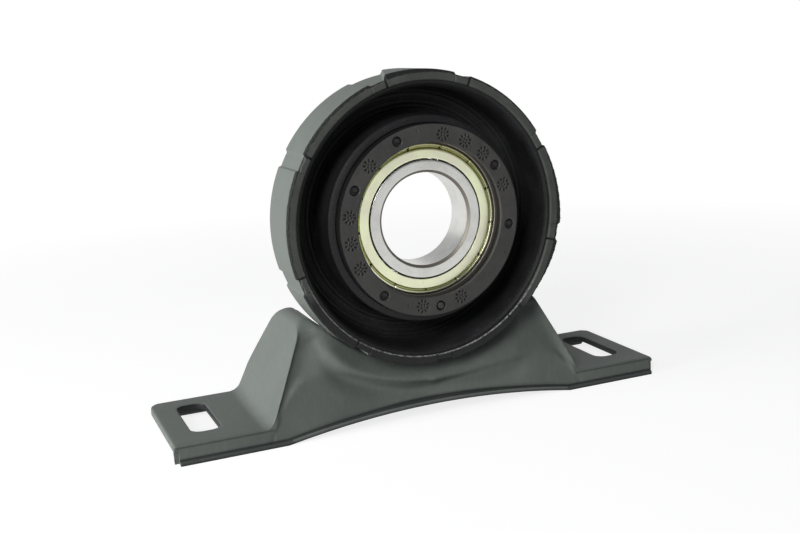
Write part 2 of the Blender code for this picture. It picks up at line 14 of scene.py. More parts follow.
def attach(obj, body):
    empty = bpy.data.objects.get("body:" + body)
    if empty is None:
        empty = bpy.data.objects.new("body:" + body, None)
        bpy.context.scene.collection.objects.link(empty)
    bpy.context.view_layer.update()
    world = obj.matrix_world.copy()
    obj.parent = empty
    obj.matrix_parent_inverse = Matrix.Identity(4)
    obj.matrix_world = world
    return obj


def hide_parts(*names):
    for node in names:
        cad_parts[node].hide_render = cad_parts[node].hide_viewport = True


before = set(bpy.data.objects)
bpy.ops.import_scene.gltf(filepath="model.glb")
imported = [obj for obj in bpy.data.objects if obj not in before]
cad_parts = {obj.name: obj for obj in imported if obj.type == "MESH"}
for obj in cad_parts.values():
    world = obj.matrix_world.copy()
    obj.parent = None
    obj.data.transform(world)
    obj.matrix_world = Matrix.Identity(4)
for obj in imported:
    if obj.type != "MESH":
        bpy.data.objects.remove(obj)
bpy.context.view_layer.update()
scene = bpy.context.scene
scene.view_settings.view_transform = 'Standard'


# Camera: a 48 mm lens on a full-frame back, 0.35 m in front and to the left of the ring, turned
# a little about its own axis as the photograph's is.
azimuth, elevation, roll = -0.388159, 0.210965, -0.052016
eye = (-0.13547, -0.32812, 0.12282)
back = Vector((math.sin(azimuth) * math.cos(elevation),
               -math.cos(azimuth) * math.cos(elevation), math.sin(elevation)))
level = (-back).cross(Vector((0, 0, 1))).normalized()
rise = level.cross(-back)
image_right = math.cos(roll) * level + math.sin(roll) * rise
image_up = math.cos(roll) * rise - math.sin(roll) * level
lens = bpy.data.cameras.new("photograph_view")
lens.lens = 47.90
lens.sensor_width = 36.0
lens.clip_start = 0.01
camera = bpy.data.objects.new("photograph_view", lens)
scene.collection.objects.link(camera)
camera.matrix_world = Matrix([(image_right[row], image_up[row], back[row], eye[row])
                              for row in range(3)] + [(0, 0, 0, 1)])
scene.camera = camera


# Studio: a matt white sweep under the part and white paper all round, which the camera sees as
# plain white. Gloss mirrors that white too, apart from a dim room in front and a darker ceiling.
# Two soft boxes light the part, one level at the left and one high at the front left.
def linear(code):
    """An sRGB hex colour as linear light, with alpha."""
    shares = [int(code[spot:spot + 2], 16) / 255 for spot in (0, 2, 4)]
    return tuple(share / 12.92 if share <= 0.04045 else ((share + 0.055) / 1.055) ** 2.4
                 for share in shares) + (1.0,)


def add_node(tree, kind, feeds=None, output=0, **settings):
    """Add a shader node with its options, values and links, and return one of its outputs."""
    node = tree.nodes.new("ShaderNode" + kind)
    for name, value in settings.items():
        setattr(node, name, value)
    for key, value in (feeds or {}).items():
        if isinstance(value, bpy.types.NodeSocket):
            tree.links.new(value, node.inputs[key])
        else:
            node.inputs[key].default_value = value
    return node.outputs[output] if node.outputs else None


def new_material(name):
    """A material without nodes yet, and its tree."""
    material = bpy.data.materials.new(name)
    material.use_nodes = True
    material.node_tree.nodes.clear()
    return material, material.node_tree


def seen_directly(tree):
    """1 for rays from the camera and for reflected or refracted ones, 0 for diffuse light."""
    rays = add_node(tree, "LightPath").node.outputs
    mirrored = add_node(tree, "Math", {0: rays["Is Camera Ray"], 1: rays["Is Glossy Ray"]},
                        operation='MAXIMUM')
    return add_node(tree, "Math", {0: mirrored, 1: rays["Is Transmission Ray"]},
                    operation='MAXIMUM')


# Diffuse surfaces get a low, even fill; the camera and gloss see the paper, or the room.
world = bpy.data.worlds.new("white_paper")
scene.world = world
world.use_nodes = True
tree = world.node_tree
tree.nodes.clear()
fill = add_node(tree, "Background", {"Color": linear("E8EEF4"), "Strength": 0.085})
paper = add_node(tree, "Background", {"Color": linear("FFFFFF"), "Strength": 1.0})
room = add_node(tree, "Background", {"Color": linear("5A5E64"), "Strength": 1.0})
seen_along = add_node(tree, "TexCoord", output="Generated")
heading = add_node(tree, "SeparateXYZ", {0: seen_along}).node.outputs
forward = add_node(tree, "MapRange", {0: heading["Y"], 1: -0.10, 2: -0.50})
upward = add_node(tree, "MapRange", {0: heading["Z"], 1: 0.24, 2: 0.30, 4: 0.55})
toward_room = add_node(tree, "Math", {0: forward, 1: upward}, operation='MAXIMUM')
glossy = add_node(tree, "LightPath", output="Is Glossy Ray")
in_room = add_node(tree, "Math", {0: toward_room, 1: glossy}, operation='MULTIPLY')
around = add_node(tree, "MixShader", {0: in_room, 1: paper, 2: room})
either = add_node(tree, "MixShader", {0: seen_directly(tree), 1: fill, 2: around})
add_node(tree, "OutputWorld", {"Surface": either})

sweep_mesh = bpy.data.meshes.new("white_sweep")
sweep_mesh.from_pydata([(-3, -3, 0), (3, -3, 0), (3, 3, 0), (-3, 3, 0)], [], [(0, 1, 2, 3)])
sweep = bpy.data.objects.new("white_sweep", sweep_mesh)
scene.collection.objects.link(sweep)
# Matt white paint scatters all light, so it shows the part's soft shadow and no reflection. From
# 0.22 to 0.45 m out it fades into the white paper.
sweep_paint, tree = new_material("matt_white_sweep")
matt = add_node(tree, "BsdfDiffuse", {"Color": linear("A4A4A4")})
lift = add_node(tree, "Emission", {"Strength": 0.80})
hidden = add_node(tree, "Emission", {"Strength": 0.0})
shown = add_node(tree, "MixShader", {0: seen_directly(tree), 1: hidden, 2: lift})
near = add_node(tree, "AddShader", {0: matt, 1: shown})
far = add_node(tree, "Emission", {"Strength": 1.0})
place = add_node(tree, "TexCoord", output="Object")
away = add_node(tree, "VectorMath", {0: place}, 1, operation='LENGTH')
outward = add_node(tree, "MapRange", {0: away, 1: 0.22, 2: 0.45})
beyond = add_node(tree, "Math", {0: outward, 1: seen_directly(tree)}, operation='MULTIPLY')
fading = add_node(tree, "MixShader", {0: beyond, 1: near, 2: far})
add_node(tree, "OutputMaterial", {"Surface": fading})
sweep_mesh.materials.append(sweep_paint)

aim = Vector((0, 0, 0.05))
for name, place, power in (("left_soft_box", (-0.95, -0.08, 0.20), 8.3),
                           ("high_soft_box", (-0.78, -0.84, 0.66), 8.4)):
    lamp = bpy.data.lights.new(name, 'AREA')
    lamp.shape = 'SQUARE'
    lamp.size = 0.45
    lamp.energy = power
    box = bpy.data.objects.new(name, lamp)
    scene.collection.objects.link(box)
    box.location = place
    box.rotation_euler = (aim - Vector(place)).to_track_quat('-Z', 'Y').to_euler()


# Mounting bracket: one pressing of 2 mm deep-drawing steel, with two slotted feet, two horns, a
# saddle for the band and a lip turned out along the lower edges. It is punched, trimmed and
# dip-painted grey after pressing, with the band welded into its saddle.
shaft_z, middle_y = 0.0659, 0.0012
saddle_radius = 0.0474
sheet = 0.0020
foot_top, foot_end, foot_side = 0.0059, 0.0865, 0.0220
lip_side = 0.0240
lip_bow, lip_bow_end = 0.0046, 0.0510
horn_foot_x, horn_slope = 0.0560, 2.08
slot_out, slot_back = 0.0744, 0.0012
slot_half_x, slot_half_y, slot_round = 0.0047, 0.0136, 0.0034
foot_round = 0.0055
cut_past = 0.004


def ease(low, high, place):
    """Ease from 0 to 1 as place goes from low to high."""
    share = min(max((place - low) / (high - low), 0.0), 1.0)
    return share * share * (3 - 2 * share)


def mix(first, second, share):
    """The value a share of the way from first to second."""
    return first + (second - first) * share


def saddle_z(x):
    """Height of the saddle under the band."""
    return shaft_z - math.sqrt(saddle_radius ** 2 - x ** 2)


def bend(before, corner, after, reach, steps):
    """A soft bend over a corner of a pressing, starting reach before it."""
    start = corner + (before - corner).normalized() * min(reach, (before - corner).length * 0.47)
    end = corner + (after - corner).normalized() * min(reach, (after - corner).length * 0.47)
    return [start * (1 - share) ** 2 + corner * (2 * share * (1 - share)) + end * share ** 2
            for share in (step / steps for step in range(steps + 1))]


def arc(before, corner, after, radius, steps):
    """A true arc that rounds a corner, kept within the edges beside it."""
    into = (corner - before).normalized()
    out = (after - corner).normalized()
    turn = into.angle(out)
    longest = 0.88 * min((corner - before).length, (after - corner).length)
    radius = min(radius, longest / math.tan(turn / 2))
    start = corner - into * radius * math.tan(turn / 2)
    inward = (out - into * into.dot(out)).normalized()
    return [start + into * radius * math.sin(turn * step / steps)
            + inward * radius * (1 - math.cos(turn * step / steps)) for step in range(steps + 1)]


def stepped(path, spacing):
    """The same path with points added so that none are further apart than spacing."""
    full = [path[0]]
    for here in path[1:]:
        runs = max(1, math.ceil((here - full[-1]).length / spacing))
        start = full[-1]
        full += [start.lerp(here, run / runs) for run in range(1, runs + 1)]
    return full


# The horn's peak, where its outer slope meets the saddle's circle, found by halving.
low, high = 0.0, saddle_radius
for _ in range(40):
    halfway = (low + high) / 2
    if foot_top + (horn_foot_x - halfway) * horn_slope > saddle_z(halfway):
        low = halfway
    else:
        high = halfway
horn_x = low
horn_top = foot_top + (horn_foot_x - horn_x) * horn_slope


def crest_line(top_round):
    """The crest from the middle of the saddle over the horn to the foot's rolled end, as (x, z)."""
    peak = Vector((horn_x, horn_top))
    saddle_slope = horn_x / math.sqrt(saddle_radius ** 2 - horn_x ** 2)
    before = peak - Vector((1.0, saddle_slope)) * 0.020
    foot = Vector((horn_foot_x, foot_top))
    plate_end = Vector((foot_end - 0.0009, foot_top))
    over = arc(before, peak, foot, top_round, 14)
    line = [Vector((over[0].x * step / 34, saddle_z(over[0].x * step / 34))) for step in range(34)]
    base = arc(over[-1], foot, plate_end, 0.0045, 8)
    line += over + stepped([over[-1], base[0]], 0.0008)[1:]
    line += base[1:] + stepped([base[-1], plate_end], 0.0012)[1:]
    line += [plate_end + 0.0009 * Vector((math.sin(turn), math.cos(turn) - 1))
             for turn in (0.3, 0.6, 0.9, 1.2, math.pi / 2)]
    return line


def underside(line):
    """The sheet's underside: each point of the crest line one sheet lower, square to it."""
    under = []
    for spot, here in enumerate(line):
        if spot == 0 or here.x > foot_end - 0.0018:
            under.append(Vector((here.x, here.y - sheet if spot == 0 else foot_top - sheet)))
            continue
        lead = (here - line[spot - 1]).normalized()
        across = (lead + (line[spot + 1] - here).normalized()).normalized()
        under.append(here + Vector((across.y, -across.x)) * sheet / across.dot(lead))
    return under


def lip_line(out):
    """How high the lip stands at a distance from the middle: it bows up between the feet."""
    return lip_bow * max(0.0, 1 - (out / lip_bow_end) ** 2)


def wall_depth(x, z, inset, rear):
    """How far the front or rear wall stands from the middle at (x, z).

    The wall runs in from the horn's ridge with a shallow valley beside it, and flares out under
    the band like a cone about the shaft. Below a soft crease it steps forward onto a flat panel,
    and a low swell runs round the cone's foot.
    """
    out = abs(x)
    on_foot = ease(horn_foot_x - 0.0030, horn_foot_x + 0.0015, out)
    in_middle = 1 - ease(0.0, horn_x, out)

    # From the horn's ridge to the saddle's edge, with the valley beside the ridge.
    ridge_side, ridge_top, top_side = (0.0218, 0.0150, 0.0110) if rear else (0.0222, 0.0100, 0.0125)
    climb = min(max((z + inset - ridge_top) / (horn_top - ridge_top), 0.0), 1.0)
    valley_width, valley_depth = 0.0036, 0.0019
    ridge_x = horn_foot_x - 1.11 * inset - (z - foot_top) / horn_slope
    from_ridge = max(ridge_x - out, 0.0) / valley_width
    valley = (valley_depth * from_ridge * math.exp(1 - from_ridge)
              * ease(foot_top, 0.012, z) * (1 - ease(0.030, 0.042, z)))
    wall = mix(mix(ridge_side, top_side, climb ** 1.1) - valley, 0.0215, in_middle)

    # The cone under the band, rounded into that wall.
    reach = math.hypot(out, shaft_z - z)
    along = min(saddle_radius * out / reach / horn_x, 1.0)
    cone_side, cone_slope = mix(0.0156, 0.0138, along ** 2.5), mix(1.00, 0.40, along)
    flare = cone_side + cone_slope * (reach - inset - saddle_radius)
    share = min(max(0.5 + (flare - wall) / 0.0030, 0.0), 1.0)
    upper = mix(flare, wall, share) - 0.0015 * share * (1 - share)

    # The crease's height, which peaks beside the horn, and the panel below it.
    crease_side, peak_x = (0.0195, 0.0420) if x < 0 or rear else (0.0147, 0.0440)
    crease = mix(0.0107, crease_side, ease(-0.0120, peak_x, out))
    crease -= 0.0150 * (max(out - peak_x, 0.0) / 0.0125) ** 2
    panel = mix(0.0226, 0.0221, in_middle) - mix(0.21, 0.26, in_middle) * (z - sheet)
    panel = mix(panel, foot_side + 0.18 * (foot_top - z), on_foot)

    # The swell and the hollow below it, round the cone's foot.
    cone_foot, swell_width = 0.0553, 0.0024
    right = max(x - 0.0050, 0.0) if not rear else 0.0
    from_swell = (reach - inset - cone_foot - 0.27 * right) / swell_width
    swell = (-mix(0.0015, 0.0006, ease(-0.0120, 0.0120, x))
             * from_swell * math.exp(0.5 - 0.5 * from_swell ** 2))
    lip = lip_line(out)
    swell *= (1 - ease(0.0300, 0.0390, out)) * ease(lip + 0.0008, lip + 0.0040, z)

    share = max(1 - ease(crease - 0.0018, crease + 0.0018, z + 0.5 * inset), on_foot)
    return mix(upper, panel, share) + swell * (1 - on_foot) - inset


def half_section(x, crest, inset, rear):
    """Half of the pressing's section at x as (depth from the middle, height), from the lip up."""
    out = abs(x)
    on_foot = ease(horn_foot_x - 0.0030, horn_foot_x + 0.0015, out)
    in_middle = 1 - ease(0.0, horn_x, out)
    lip_top = lip_line(out) + (0.0013 if inset == 0 else 0.0)
    on_horn = ease(0.0315, horn_top - 0.0010, crest + inset) * (1 - in_middle)
    edge = mix(mix(0.0012, 0.0055, in_middle), 0.0095, on_horn)
    edge = max(mix(edge, 0.0009, on_foot) - inset, 0.0003)
    burr = 0.0004 if inset == 0 else 0.0

    def on_wall(z):
        """The wall's point at a height."""
        return Vector((wall_depth(x, z, inset, rear), z))

    section = [Vector((lip_side - burr * (1 - math.sin(turn)),
                       lip_top - burr * (1 - math.cos(turn))))
               for turn in (math.pi / 2, 1.0, 0.5, 0.0)]
    lip_end = section[-1]
    low = mix(lip_top, crest, 0.35 if on_foot > 0.5 else 0.18)
    turned = bend(lip_end, on_wall(lip_top), on_wall(low), 0.0007 + 0.5 * inset, 8)
    section += [lip_end.lerp(turned[0], run / 4) for run in range(1, 5)] + turned[1:]
    below = crest - min(1.2 * edge, 0.5 * (crest - lip_top))
    over = arc(on_wall(below), on_wall(crest), Vector((0.0, crest)), edge, 10)
    bottom, top = section[-1].y, over[0].y
    section += [on_wall(mix(bottom, top, run / 30)) for run in range(1, 30)] + over
    section += [over[-1].lerp(Vector((0.0, crest)), run / 8) for run in range(1, 9)]
    return section


def closed_mesh(name, points, faces, sharp_angle):
    """A closed mesh with outward faces, smooth except at edges sharper than an angle."""
    mesh = bpy.data.meshes.new(name)
    mesh.from_pydata(points, [], faces)
    work = bmesh.new()
    work.from_mesh(mesh)
    bmesh.ops.recalc_face_normals(work, faces=work.faces)
    work.to_mesh(mesh)
    work.free()
    mesh.shade_smooth()
    mesh.set_sharp_from_angle(angle=math.radians(sharp_angle))
    return mesh


def place_piece(name, mesh, material, body, slot, *replaced):
    """Show a piece on its body in place of its CAD nodes."""
    piece = bpy.data.objects.new(name, mesh)
    scene.collection.objects.link(piece)
    mesh.materials.clear()
    mesh.materials.append(material)
    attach(piece, body)
    if replaced:
        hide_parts(*replaced)


shells = []
for inset in (0.0, sheet):
    left, right = crest_line(0.0038), crest_line(0.0044)
    if inset:
        left, right = underside(left), underside(right)
    shell = []
    for x, z in ([(-spot.x, spot.y) for spot in reversed(left[1:])]
                 + [(spot.x, spot.y) for spot in right]):
        front, rear = half_section(x, z, inset, False), half_section(x, z, inset, True)
        shell += [(x, middle_y - spot.x, spot.y) for spot in front]
        shell += [(x, middle_y + spot.x, spot.y) for spot in reversed(rear[:-1])]
    shells.append(shell)
rows = len(left) + len(right) - 1
across = len(shells[0]) // rows
total = rows * across
faces = []
for row in range(rows - 1):
    for spot in range(across - 1):
        corner = row * across + spot
        quad = (corner, corner + across, corner + across + 1, corner + 1)
        faces += [quad, tuple(total + index for index in reversed(quad))]
rim = [row * across for row in range(rows)]
rim += [(rows - 1) * across + spot for spot in range(1, across)]
rim += [row * across + across - 1 for row in range(rows - 2, -1, -1)]
rim += list(range(across - 2, 0, -1))
faces += [(corner, total + corner, total + rim[(spot + 1) % len(rim)], rim[(spot + 1) % len(rim)])
          for spot, corner in enumerate(rim)]
blank_mesh = closed_mesh("bracket_blank", shells[0] + shells[1], faces, 42)
blank = bpy.data.objects.new("bracket_blank", blank_mesh)
scene.collection.objects.link(blank)


def slot_ring(centre, grow):
    """The punched slot's outline, grown by a distance all round."""
    ring = []
    for quarter, (side_x, side_y) in enumerate(((1, 1), (-1, 1), (-1, -1), (1, -1))):
        corner_x = centre + side_x * (slot_half_x - slot_round)
        corner_y = middle_y + slot_back + side_y * (slot_half_y - slot_round)
        for step in range(9):
            turn = (quarter + step / 8) * math.pi / 2
            ring.append((corner_x + (slot_round + grow) * math.cos(turn),
                         corner_y + (slot_round + grow) * math.sin(turn)))
    return ring


cut_points, cut_faces = [], []


def add_cut(rings):
    """Add a closed solid through level rings of (x, y) points to the press tool's cuts."""
    start, count = len(cut_points), len(rings[0][1])
    for z, ring in rings:
        cut_points.extend((x, y, z) for x, y in ring)
    for floor in range(len(rings) - 1):
        base = start + floor * count
        cut_faces.extend((base + spot, base + (spot + 1) % count,
                          base + count + (spot + 1) % count, base + count + spot)
                         for spot in range(count))
    cut_faces.append(tuple(range(start, start + count)))
    cut_faces.append(tuple(range(start + (len(rings) - 1) * count, start + len(rings) * count)))


# The press tool's cuts for each foot: the slot with its rolled-in upper edge, the rounded rear
# corner, and the small notch at the front corner.
for side in (-1, 1):
    punch = [(-cut_past, 0.0)]
    punch += [(foot_top - 0.0005 * (1 - math.sin(turn)), 0.0005 * (1 - math.cos(turn)))
              for turn in (0.0, 0.35, 0.7, 1.0, 1.25)]
    punch += [(foot_top + 0.00002, 0.0005), (foot_top + cut_past, 0.0006)]
    add_cut([(z, slot_ring(side * slot_out + 0.0004, grow)) for z, grow in punch])
    corner_x, corner_y = side * (foot_end - foot_round), middle_y + foot_side - foot_round
    trim = [(corner_x + side * foot_round * math.sin(step / 12 * math.pi / 2),
             corner_y + foot_round * math.cos(step / 12 * math.pi / 2)) for step in range(13)]
    trim += [(side * (foot_end + cut_past), corner_y),
             (side * (foot_end + cut_past), middle_y + lip_side + cut_past),
             (corner_x, middle_y + lip_side + cut_past)]
    add_cut([(-cut_past, trim), (foot_top + cut_past, trim)])
    notch = [(side * 0.0851, middle_y - 0.0215), (side * 0.0905, middle_y - 0.0215),
             (side * 0.0905, middle_y - 0.0280), (side * 0.0851, middle_y - 0.0280)]
    add_cut([(-cut_past, notch), (0.0044, notch)])
tool = bpy.data.objects.new("press_tool", closed_mesh("press_tool", cut_points, cut_faces, 30))
scene.collection.objects.link(tool)
punching = blank.modifiers.new("punching", 'BOOLEAN')
punching.solver = 'MANIFOLD'
punching.object = tool
bpy.context.view_layer.update()
punched = blank.evaluated_get(bpy.context.evaluated_depsgraph_get())
pressing = bpy.data.meshes.new_from_object(punched)
pressing.name = "pressed_bracket"
for spare in (blank, tool):
    bpy.data.objects.remove(spare, do_unlink=True)
pressing.shade_smooth()
pressing.set_sharp_from_angle(angle=math.radians(40))


def points_of(mesh):
    """A mesh's points as an array of (x, y, z)."""
    spots = np.empty(len(mesh.vertices) * 3)
    mesh.vertices.foreach_get("co", spots)
    return spots.reshape(-1, 3)


def mark_points(mesh, name, shares):
    """Give each of a mesh's points a share from 0 to 1, which its material reads by name."""
    layer = mesh.attributes.new(name, 'FLOAT', 'POINT')
    layer.data.foreach_set("value", np.ravel(shares).astype(np.float32))


# Where the slots' walls and the lip's lower edge are painted dark, as bare cut metal and painted
# shade, where the feet's rolled edges are painted dark as shade, where dirt and painted shade
# darken the fold above the lip, and where hands and crates rub the plate's ends.
spots = points_of(pressing)
out, depth, height = np.abs(spots[:, 0]), np.abs(spots[:, 1] - middle_y), spots[:, 2]
above_lip = height - lip_bow * np.clip(1 - (out / lip_bow_end) ** 2, 0, 1)
past_slot_x = np.maximum(np.abs(out - slot_out) - slot_half_x, 0)
past_slot_y = np.maximum(np.abs(spots[:, 1] - middle_y - slot_back) - slot_half_y, 0)
in_slot = (np.hypot(past_slot_x, past_slot_y) < 0.0006) & (height < foot_top - 0.0001)
lower_edge = (depth > lip_side - 0.0002) & (above_lip < 0.0007)
foot_lip = (depth > lip_side - 0.0004) & (above_lip < 0.0014) & (out > 0.0500)
# Painted shade along the feet's rolled edges, and dirt with painted shade in the fold above the
# lip.
rolled = (np.exp(-((height - foot_top + 0.0007) / 0.0003) ** 2)
          * (depth > foot_side - 0.0012) * (out > 0.0545))
in_fold = np.exp(-((above_lip - 0.0015) / 0.0004) ** 2) * (depth > 0.0205) * (depth < 0.0237)
end_rub = np.clip(1 - (foot_end - out) / 0.0010, 0, 1) * (height > foot_top - 0.0010)
mark_points(pressing, "rub", 0.7 * end_rub)
mark_points(pressing, "sheared_and_shaded", np.maximum.reduce((
    1.0 * in_slot, 1.0 * lower_edge, 0.55 * foot_lip, 0.55 * rolled, 0.9 * in_fold)))


def dip_paint(name, shade, light, draw_marks):
    """Grey dip paint on pressed steel: thin and satin, with a fine tooth and the metal's marks.

    shade and light are the paint's two tones; draw_marks is how strongly upright marks show.
    Where the ends are rubbed the paint is paler, and marked edges, folds and slots are painted
    dark, as bare cut metal and painted shade. The tooth is drawn at 0.3 mm, coarser than it is, so
    that it shows.
    """
    material, tree = new_material(name)
    place = add_node(tree, "TexCoord", output="Object")
    upright = add_node(tree, "Mapping", {"Vector": place, "Scale": (1.0, 1.0, 0.07)})
    slanting = add_node(tree, "Mapping", {
        "Vector": place, "Rotation": (0.3, 0.5, 0.7), "Scale": (0.05, 1.0, 1.0)})
    clouds, marks, tooth, peel, scratches, chips = (add_node(tree, "TexNoise", {
        "Vector": vector, "Scale": 1 / size, "Detail": detail, "Roughness": rough})
        for vector, size, detail, rough in (
            (place, 0.022, 3.0, 0.55), (upright, 0.0011, 2.0, 0.6), (place, 0.00028, 2.0, 0.6),
            (place, 0.0016, 1.0, 0.4), (slanting, 0.0009, 2.0, 0.5), (place, 0.0012, 3.0, 0.6)))
    worn = add_node(tree, "Attribute", output="Fac", attribute_name="rub")
    # Painted shade and bare cut metal: the marked edges, folds and slots turn dark.
    cut_and_shaded_edge = add_node(tree, "Attribute", output="Fac", attribute_name="sheared_and_shaded")
    chipped = add_node(tree, "Math", {
        0: worn, 1: add_node(tree, "MapRange", {0: chips, 1: 0.44, 2: 0.66})},
        operation='MULTIPLY')
    colour = linear(shade)
    for share, tone in (
            (add_node(tree, "MapRange", {0: clouds, 1: 0.32, 2: 0.68}), light),
            (add_node(tree, "MapRange", {0: marks, 1: 0.45, 2: 0.75, 4: draw_marks}), "8E938E"),
            (add_node(tree, "MapRange", {0: scratches, 1: 0.71, 2: 0.78, 4: 0.25}), "979C97"),
            (add_node(tree, "MapRange", {0: chipped, 4: 0.40}), "9A9F9A"),
            (cut_and_shaded_edge, "1F2123")):
        colour = add_node(tree, "Mix", {0: share, 6: colour, 7: linear(tone)}, 2,
                          data_type='RGBA')
    satin = add_node(tree, "MapRange", {0: clouds, 1: 0.3, 2: 0.7, 3: 0.48, 4: 0.60})
    marks_depth = 0.00002 * (0.4 + draw_marks)
    normal = add_node(tree, "Bump", {"Height": marks, "Distance": marks_depth})
    normal = add_node(tree, "Bump", {"Height": peel, "Distance": 0.00004, "Normal": normal})
    normal = add_node(tree, "Bump", {"Height": tooth, "Distance": 0.000012, "Normal": normal})
    shader = add_node(tree, "BsdfPrincipled", {
        "Base Color": colour, "Roughness": satin, "IOR": 1.5, "Specular IOR Level": 0.30,
        "Normal": normal})
    add_node(tree, "OutputMaterial", {"Surface": shader})
    return material


bracket_paint = dip_paint("dip_painted_pressed_steel", "646A66", "6F7570", 0.14)
place_piece("pressed_bracket", pressing, bracket_paint, "support", "bracket_paint",
            "mount_bracket")


# Outer band: a strip of steel rolled into a ring and lap-welded, with nine low pads round it
# where it was gripped. It is dip-painted with the bracket, and its front edge is left rough by
# the shear.
band_inner, band_outer, band_half = 0.0445, 0.0464, 0.00925
band_middle = 0.0455
pad_gaps = (29, 73, 109, 152, 200, 237, 274, 311, 349)
ramp_start, ramp_end = 2.75, 3.75
ring_y = -0.0143
centre = Vector((0.0, ring_y, shaft_z))


def rounded_outline(corners):
    """A closed outline through (radius, depth, corner round, point spacing) corners."""
    arcs = []
    for spot, (radius, depth, corner_round, _) in enumerate(corners):
        here = Vector((radius, depth))
        before = Vector(corners[spot - 1][:2])
        after = Vector(corners[(spot + 1) % len(corners)][:2])
        arcs.append(arc(before, here, after, corner_round, 5) if corner_round else [here])
    outline = []
    for spot, curve in enumerate(arcs):
        outline += curve
        following = arcs[(spot + 1) % len(arcs)][0]
        outline += stepped([curve[-1], following], corners[spot][3])[1:-1]
    return np.array([tuple(point) for point in outline])


def turned_piece(name, outline, turns, shape=None, sharp_angle=40):
    """Turn a closed outline round the shaft's line; shape may move points by their angle."""
    angles = np.arange(turns) * 2 * math.pi / turns
    radius = np.tile(outline[:, 0], (turns, 1))
    depth = np.tile(outline[:, 1], (turns, 1))
    angle = np.tile(angles[:, None], (1, len(outline)))
    if shape:
        radius, depth = shape(radius, depth, angle)
    points = np.stack((centre.x + radius * np.cos(angle), centre.y + depth,
                       centre.z + radius * np.sin(angle)), axis=-1).reshape(-1, 3)
    row = np.arange(turns)[:, None] * len(outline)
    following = np.roll(row, -1, axis=0)
    spot = np.arange(len(outline))[None, :]
    after = np.roll(spot, -1, axis=1)
    quads = np.stack((row + spot, row + after, following + after, following + spot), axis=-1)
    return closed_mesh(name, points.tolist(), quads.reshape(-1, 4).tolist(), sharp_angle)


def smooth(low, high, value):
    """Ease from 0 to 1 for arrays."""
    share = np.clip((value - low) / (high - low), 0, 1)
    return share * share * (3 - 2 * share)


def pad_rise(angle, depth):
    """How far the band stands out at an angle, in metres: pads, gaps and the two lapped ends.

    A gap is round each of pad_gaps, in degrees, with a short ramp on both sides. The second
    pad ends askew and climbs outward, the last one comes back in, and the strip's outer end
    lies over the other from 322 to 352 degrees.
    """
    degrees = np.degrees(angle) % 360
    rise = np.zeros_like(degrees)
    second, last = 1, len(pad_gaps) - 1
    for pad, start in enumerate(pad_gaps):
        span = (pad_gaps[(pad + 1) % len(pad_gaps)] - start) % 360
        along = (degrees - start) % 360
        skew = 8 * (depth + band_half) / (2 * band_half) if pad == second else 0.0
        on_pad = (smooth(ramp_start, ramp_end, along) * (along < span)
                  * (1 - smooth(span - ramp_end - skew, span - ramp_start - skew, along)))
        share = np.clip((along - ramp_end) / (span - 2 * ramp_end), 0, 1)
        lap = 0.0009 * share if pad == second else 0.0012 * (1 - share) if pad == last else 0.0
        rise = rise + on_pad * (0.0007 + lap)
    return rise + 0.0010 * smooth(322, 344, degrees) * (1 - smooth(351.8, 352.6, degrees))


def on_outside(radius, depth, angle):
    """Lift the band's outer half onto its pads."""
    return radius + pad_rise(angle, depth) * (radius > band_middle), depth


band_mesh = turned_piece("welded_band", rounded_outline((
    (band_outer, -band_half, 0.0004, 0.0015), (band_outer, band_half, 0.0004, 0.0010),
    (band_inner, band_half, 0.0002, 0.0012), (band_inner, -band_half, 0.0002, 0.0010))),
    1080, on_outside, 30)


def around_shaft(tree):
    """(radius, turn, depth) of a point about the shaft's line, in metres and radians."""
    place = add_node(tree, "TexCoord", output="Object")
    offset = add_node(tree, "VectorMath", {0: place, 1: tuple(centre)}, operation='SUBTRACT')
    apart = add_node(tree, "SeparateXYZ", {0: offset}).node.outputs
    flat = add_node(tree, "CombineXYZ", {0: apart["X"], 2: apart["Z"]})
    radius = add_node(tree, "VectorMath", {0: flat}, 1, operation='LENGTH')
    turn = add_node(tree, "Math", {0: apart["Z"], 1: apart["X"]}, operation='ARCTAN2')
    return radius, turn, apart["Y"]


# Paint on cold-rolled strip: a shade lighter than on the pressing, with fainter marks, and a
# dark ragged line where the shear broke the front edge.
band_paint = dip_paint("dip_painted_rolled_strip", "666C68", "717772", 0.10)
tree = band_paint.node_tree
base_colour = tree.nodes["Principled BSDF"].inputs["Base Color"]
ragged = add_node(tree, "TexNoise", {
    "Vector": add_node(tree, "TexCoord", output="Object"), "Scale": 1 / 0.0008, "Detail": 3.0,
    "Roughness": 0.7})
edge_line = add_node(tree, "Math", {0: ragged, 1: 0.0016, 2: -0.0094}, operation='MULTIPLY_ADD')
behind = add_node(tree, "Math", {0: around_shaft(tree)[2], 1: edge_line}, operation='SUBTRACT')
broken = add_node(tree, "MapRange", {0: behind, 1: -0.00005, 2: 0.00008, 3: 1.0, 4: 0.0})
edged = add_node(tree, "Mix", {0: broken, 6: base_colour.links[0].from_socket,
                               7: linear("1B1C1C")}, 2, data_type='RGBA')
tree.links.new(edged, base_colour)
place_piece("welded_band", band_mesh, band_paint, "support", "band_paint", "outer_band")


# Rim skin: the flash of the rubber moulding, squeezed over the band's front edge when the mould
# closed. It is matt dark grey, and split where the pads begin and end.
rim_outer, rim_turns, split_off = 0.04615, 1800, 3.25


def split_at_pads(radius, depth, angle):
    """Lift the rim onto the pads, and sink a thin radial split at both ends of each gap.

    The first split goes deep and the second is shallow, and the rim's outer edge wanders.
    """
    degrees = np.degrees(angle) % 360
    for gap in pad_gaps:
        for side, sink, half in ((-split_off, 0.00070, 0.55), (split_off, 0.00022, 0.35)):
            off = np.abs((degrees - gap - side + 180) % 360 - 180)
            depth = depth + sink * (1 - smooth(half * 0.4, half, off)) * (depth < -0.0093)
    wander = (0.00007 * np.sin(degrees * 1.9) + 0.00006 * np.sin(degrees * 5.3 + 1.0)
              + 0.00005 * np.sin(degrees * 11.7))
    front_rise = pad_rise(angle, np.full_like(depth, -band_half))
    return radius + (radius > band_middle) * (wander + front_rise), depth


